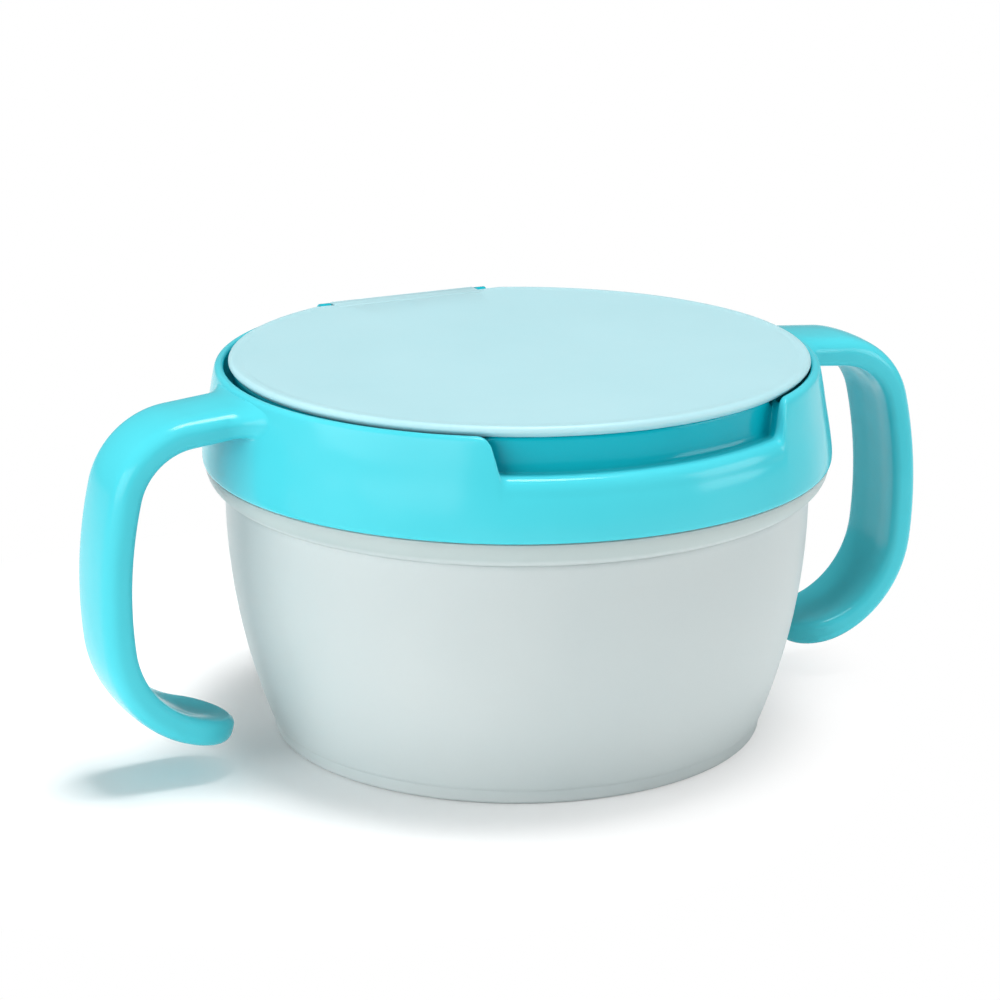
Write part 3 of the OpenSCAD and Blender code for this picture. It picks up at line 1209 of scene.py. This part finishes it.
@dataclass
class Lid:
    """The flat lid: a disc with a rounded edge, a ring below that finds the
    mouth, and a hinge barrel with moulded pins at the back."""

    radius: float = 55.05
    shift: Pair = (0.25, -0.5)
    low: float = 71.4
    high: float = 73.4
    edge: float = 0.9
    lip_in: float = 2.1
    lip_d: float = 0.07
    plug: Pair = (48.9, 50.2)
    plug_z: float = 69.6
    barrel_r: float = 2.0
    barrel_l: float = 31.7
    pin_r: float = 1.2
    pin_l: float = 1.8
    trim_y: float = 49.8
    steps: int = 180
    disc_round: float = 0.35
    hinge_round: float = 0.3
    pin_round: float = 0.2
    barrel_sides: int = 72
    pin_sides: int = 48

    def profile(self) -> list[Pair]:
        """The disc's section, from the middle of its underside to its top's.

        Returns:
            (radius, height) pairs in millimetres.
        """
        r_in, r_out = self.plug
        low, high, radius = self.low, self.high, self.radius
        e = self.edge
        points: list[Pair] = [(0, low), (30, low), (r_in - 0.5, low)]
        points += [(r_in - 0.1, low - 0.1), (r_in, low - 0.5)]
        points += arc(r_in + 0.4, self.plug_z + 0.4, 0.4, 180, 270, 4)
        points += arc(r_out - 0.4, self.plug_z + 0.4, 0.4, 270, 360, 4)
        points += [(r_out, low - 0.5), (r_out + 0.1, low - 0.1)]
        points += [(r_out + 0.5, low), (radius - 3, low)]
        points += [(radius - 1.15, low), (radius - 0.9, low + 0.08)]
        points += [(radius - 0.22, low + 0.75), (radius - 0.03, low + 1.0)]
        points += arc(radius - e, high - e, e, 0, 90, 8)
        lip = radius - self.lip_in
        points += [(lip + 0.45, high), (lip + 0.2, high - self.lip_d * 0.3)]
        points += [(r, high - self.lip_d) for r in (lip - 0.2, lip - 0.6, 40, 20, 0)]
        return points

    def build(self) -> None:
        """Turns the disc, trims its back and adds the hinge."""
        disc = strand("disc", self.profile(), closed=False)
        turn(disc, self.steps)
        with editing(disc):
            pick_all()
            bpy.ops.transform.translate(value=metres(*self.shift, 0))
            bpy.ops.mesh.bisect(
                plane_co=metres(0, self.trim_y, 0),
                plane_no=(0, 1, 0),
                clear_outer=True,
                use_fill=True,
            )
        soften(disc, self.disc_round)
        smooth(disc)
        half = self.barrel_l / 2
        y, z = HINGE
        tongue = box(
            "tongue", (-half, self.trim_y - 2, self.low + 0.02), (half, y, self.high - 0.01)
        )
        soften(tongue, self.hinge_round)
        smooth(tongue)
        barrel = rod("barrel", self.barrel_r, -half, half, y, z, self.barrel_sides)
        soften(barrel, self.hinge_round)
        smooth(barrel)
        end = half + self.pin_l
        pins = rod("pins", self.pin_r, -end, end, y, z, self.pin_sides)
        soften(pins, self.pin_round)
        smooth(pins)
        lid = join("hinged_lid", disc, tongue, barrel, pins)
        dress(lid, LID_PLASTIC.made(), "lid", "lid_plastic", "lid")


# --------------------------------------------------------------- flap insert


@dataclass
class Insert:
    """The soft insert: a ring with a gripping lip, and six flaps."""

    ring_r: float = 53.9
    lip_r: float = 52.3
    lip_t: float = 1.4
    low: float = 61.8
    deck: float = 63.3
    top: float = 66.9
    hex_r: float = 49.7
    root_x: float = 42.04
    root_r: float = 0.75
    slit: float = 0.7
    centre_r: float = 4.0
    groove: Pair = (3.2, 2.0)
    groove_d: float = 0.5
    flaps: int = 6
    steps: int = 144
    cutter_h: float = 8.0
    blade_round: float = 0.32
    root_round: float = 0.25
    root_sides: int = 32

    def ring(self) -> Piece:
        """Turns the ring with its lip and cuts the six-sided opening.

        Returns:
            The ring.
        """
        lip_in = self.lip_r - self.lip_t
        points: list[Pair] = [(20, self.low), (45, self.low), (self.ring_r - 0.4, self.low)]
        points += [(self.ring_r, self.low + 0.35), (self.ring_r, self.deck - 0.35)]
        points += [(self.ring_r - 0.35, self.deck - 0.05), (self.lip_r + 0.15, self.deck - 0.05)]
        points += [(self.lip_r, self.deck + 0.1)]
        points += arc(self.lip_r - 0.6, self.top - 0.6, 0.6, 0, 90, 5)
        points += arc(lip_in + 0.6, self.top - 0.6, 0.6, 90, 180, 5)
        points += [(lip_in, self.deck + 0.7), (lip_in - 0.2, self.deck + 0.2)]
        points += [(lip_in - 0.7, self.deck), (45, self.deck), (20, self.deck)]
        ring = strand("flap_ring_soft", points)
        turn(ring, self.steps)
        only()
        bpy.ops.mesh.primitive_cylinder_add(
            vertices=self.flaps,
            radius=self.hex_r * MM,
            depth=self.cutter_h * MM,
            location=metres(0, 0, self.deck),
        )
        cutter = placed("cutter")
        with editing(cutter):
            # a cylinder starts on +Y; the opening's corners lie on X
            pick_all()
            bpy.ops.transform.rotate(
                value=deg(30), orient_axis="Z", center_override=(0, 0, 0)
            )
        shape(ring, "BOOLEAN", operation="DIFFERENCE", object=cutter, solver="EXACT")
        bpy.data.objects.remove(cutter)
        with editing(ring):
            tidy()
        smooth(ring)
        return ring

    def flap(self) -> Piece:
        """Shapes one flap, with a round root along x = root_x.

        Returns:
            The flap that points along +X.
        """
        tan30 = math.tan(deg(30))
        half = self.root_x * tan30 - self.slit
        tip_x = self.centre_r
        mid = (self.low + self.deck) / 2
        blade = box(
            "flap",
            (tip_x + 0.2, -half, self.low),
            (self.root_x, half, self.deck),
        )
        tip_half = max((tip_x + 0.2) * tan30 - self.slit / 2 / math.cos(deg(30)), 0.4)
        with editing(blade):
            pick(blade, lambda p: p.x < tip_x + 1)
            bpy.ops.transform.resize(
                value=(1, tip_half / half, 1),
                center_override=metres(tip_x, 0, mid),
            )
            # a groove beside the root, where the flap bends on the real insert
            for back in self.groove:
                pick_all()
                bpy.ops.mesh.bisect(
                    plane_co=metres(self.root_x - back, 0, 0), plane_no=(1, 0, 0)
                )
            far, near = self.groove
            pick(
                blade,
                lambda p: near - 0.1 < self.root_x - p.x < far + 0.1 and p.z > mid,
            )
            bpy.ops.transform.translate(value=metres(0, 0, -self.groove_d))
            tidy()
        soften(blade, self.blade_round)
        smooth(blade)
        only()
        bpy.ops.mesh.primitive_cylinder_add(
            vertices=self.root_sides,
            radius=self.root_r * MM,
            depth=2 * half * MM,
            location=metres(self.root_x, 0, mid),
            rotation=(deg(90), 0, 0),
        )
        root = placed("root")
        soften(root, self.root_round)
        smooth(root)
        return join("flap", blade, root)

    def build(self) -> None:
        """Makes the ring and its six flaps."""
        material = FLAP_RUBBER.made()
        ring = self.ring()
        dress(ring, material, "collar", "flap_rubber", "flap_ring")
        first = self.flap()
        for number in range(1, self.flaps + 1):
            only(first)
            bpy.ops.object.duplicate(linked=False)
            flap = bpy.context.object
            flap.name = f"soft_flap_{number}"
            flap.rotation_euler = (0, 0, deg((number - 0.5) * 360 / self.flaps))
            fix_place()
            dress(flap, material, f"flap_{number}", "flap_rubber", f"flap_{number}")
        bpy.data.objects.remove(first)


# --------------------------------------------------------------------- stage


@dataclass(frozen=True)
class Softbox:
    """A studio lamp: where it stands, how wide it is and how strong."""

    name: str
    azimuth: float
    height: float
    distance: float
    wide: float
    tall: float
    power: float
    aim: float = 0.04

    def hang(self) -> None:
        """Adds the lamp, turned to the middle of the container."""
        a = deg(self.azimuth)
        place = Vector(
            (
                self.distance * math.sin(a),
                -self.distance * math.cos(a),
                self.height,
            )
        )
        only()
        bpy.ops.object.light_add(type="AREA", location=place)
        lamp = bpy.context.object
        lamp.name = self.name
        lamp.data.shape = "RECTANGLE"
        lamp.data.size = self.wide
        lamp.data.size_y = self.tall
        lamp.data.energy = self.power
        towards = Vector((0, 0, self.aim)) - place
        lamp.rotation_euler = towards.to_track_quat("-Z", "Y").to_euler()


@dataclass
class Stage:
    """The pale floor, the white surroundings, the lamps and the camera."""

    eye: Point = (-0.260988, -0.525005, 0.219598)
    forward: Point = (0.42165, 0.86004, -0.28731)
    lens: float = 114.592
    sensor: float = 36.0
    clip: Pair = (0.01, 50.0)
    floor_size: float = 8.0
    floor_drop: float = 0.00005
    floor_grey: float = 0.95
    fade: Pair = (0.062, 0.118)
    fade_middle: Pair = (-0.034, 0.024)
    room: float = 0.26
    lamps: tuple[Softbox, ...] = (
        Softbox(
            "left_softbox", azimuth=-74, height=0.36, distance=1.1, wide=1.3, tall=0.6, power=10.2
        ),
        Softbox(
            "right_softbox", azimuth=55, height=0.36, distance=1.2, wide=0.7, tall=0.5, power=5.0
        ),
        Softbox(
            "high_softbox", azimuth=100, height=1.05, distance=0.06, wide=0.36, tall=0.36, power=8.7
        ),
    )

    def floor(self) -> None:
        """Lays the floor, a little below the foot.

        Away from the container it runs out into plain white for the camera alone.
        """
        only()
        bpy.ops.mesh.primitive_plane_add(
            size=self.floor_size, location=(0, 0, -self.floor_drop)
        )
        floor = bpy.context.object
        floor.name = "floor"
        material = bpy.data.materials.new("pale_floor")
        graph = Graph(material)
        out = graph.add("OutputMaterial")
        matt = graph.add("BsdfDiffuse", {"Color": (*[self.floor_grey] * 3, 1)})
        white = graph.add("Emission", {"Strength": 1.0})
        place = graph.add("TexCoord")
        reach = graph.add("VectorMath", operation="LENGTH")
        near, far = self.fade
        ends = {"From Min": near, "From Max": far}
        fade = graph.add("MapRange", ends, interpolation_type="SMOOTHSTEP")
        path = graph.add("LightPath")
        seen = graph.add("Math", operation="MULTIPLY")
        mix = graph.add("MixShader")
        centre = {1: (*self.fade_middle, 0)}
        middle = graph.add("VectorMath", centre, operation="SUBTRACT")
        graph.wire(
            (place, "Object", middle, 0),
            (middle, "Vector", reach, 0),
            (reach, "Value", fade, "Value"),
            (fade, "Result", seen, 0),
            (path, "Is Camera Ray", seen, 1),
            (seen, "Value", mix, "Fac"),
            (matt, "BSDF", mix, 1),
            (white, "Emission", mix, 2),
            (mix, "Shader", out, "Surface"),
        )
        floor.data.materials.append(material)

    def surroundings(self) -> None:
        """Makes the world white where it is seen, also through the plastic, and
        dimmer as a light."""
        world = bpy.data.worlds.new("studio")
        bpy.context.scene.world = world
        graph = Graph(world)
        out = graph.add("OutputWorld")
        plain = (1, 1, 1, 1)
        white = graph.add("Background", {"Color": plain, "Strength": 1.0})
        room = graph.add("Background", {"Color": plain, "Strength": self.room})
        path = graph.add("LightPath")
        seen = graph.add("Math", operation="MAXIMUM")
        mix = graph.add("MixShader")
        graph.wire(
            (path, "Is Camera Ray", seen, 0),
            (path, "Is Transmission Ray", seen, 1),
            (seen, "Value", mix, "Fac"),
            (room, "Background", mix, 1),
            (white, "Background", mix, 2),
            (mix, "Shader", out, "Surface"),
        )

    def camera(self) -> None:
        """Sets up the camera."""
        data = bpy.data.cameras.new("camera")
        data.lens = self.lens
        data.sensor_width = self.sensor
        data.clip_start, data.clip_end = self.clip
        camera = bpy.data.objects.new("camera", data)
        bpy.context.scene.collection.objects.link(camera)
        camera.location = self.eye
        camera.rotation_euler = Vector(self.forward).to_track_quat("-Z", "Y").to_euler()
        bpy.context.scene.camera = camera

    def build(self) -> None:
        """Sets the stage."""
        self.floor()
        self.surroundings()
        for lamp in self.lamps:
            lamp.hang()
        self.camera()
        bpy.context.scene.view_settings.view_transform = "Standard"


def main() -> None:
    """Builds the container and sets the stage."""
    logging.basicConfig(level=logging.INFO, format="%(name)s: %(message)s")
    Stage().build()
    Bowl().build()
    Collar().build()
    Insert().build()
    Lid().build()


if __name__ == "__main__":
    main()
